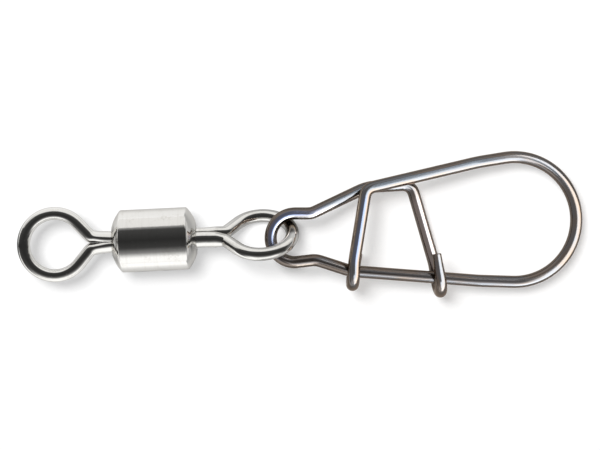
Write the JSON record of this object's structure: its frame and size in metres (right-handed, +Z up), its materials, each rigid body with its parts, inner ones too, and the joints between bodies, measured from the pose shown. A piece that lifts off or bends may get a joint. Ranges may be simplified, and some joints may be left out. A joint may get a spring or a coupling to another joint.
{
  "type": "fishing snap swivel",
  "caption": "Rolling barrel swivel with a line eye on one end and a bent wire snap linked to its other eye.",
  "frame": {"origin": "middle of the footprint of the whole part, on the surface that it lies on", "axes": "+X along the barrel's axis towards the snap, +Z up from the surface, +Y across"},
  "size_m": [0.0344, 0.0088, 0.0038],
  "materials": {
    "bright_nickel": "polished bright nickel plate",
    "black_nickel": "smooth dark plate with a faint blue and brown tint"
  },
  "bodies": {
    "barrel": {"barrel": "bright_nickel"},
    "line_eye": {"line_eye": "bright_nickel"},
    "snap_eye": {"snap_eye": "bright_nickel"},
    "snap": {"snap": "black_nickel"}
  },
  "joints": [
    {"name": "line_eye_swivel", "type": "hinge", "parent": "barrel", "child": "line_eye", "pos_m": [-0.00889, 0, 0.00189], "axis": [1, 0, 0], "continuous": true},
    {"name": "snap_eye_swivel", "type": "hinge", "parent": "barrel", "child": "snap_eye", "pos_m": [-0.00889, 0, 0.00189], "axis": [1, 0, 0], "continuous": true},
    {"name": "snap_swing", "type": "hinge", "parent": "snap_eye", "child": "snap", "pos_m": [-0.00054, 0, 0.00189], "axis": [0, 0, 1], "range_deg": [-100, 100]}
  ]
}
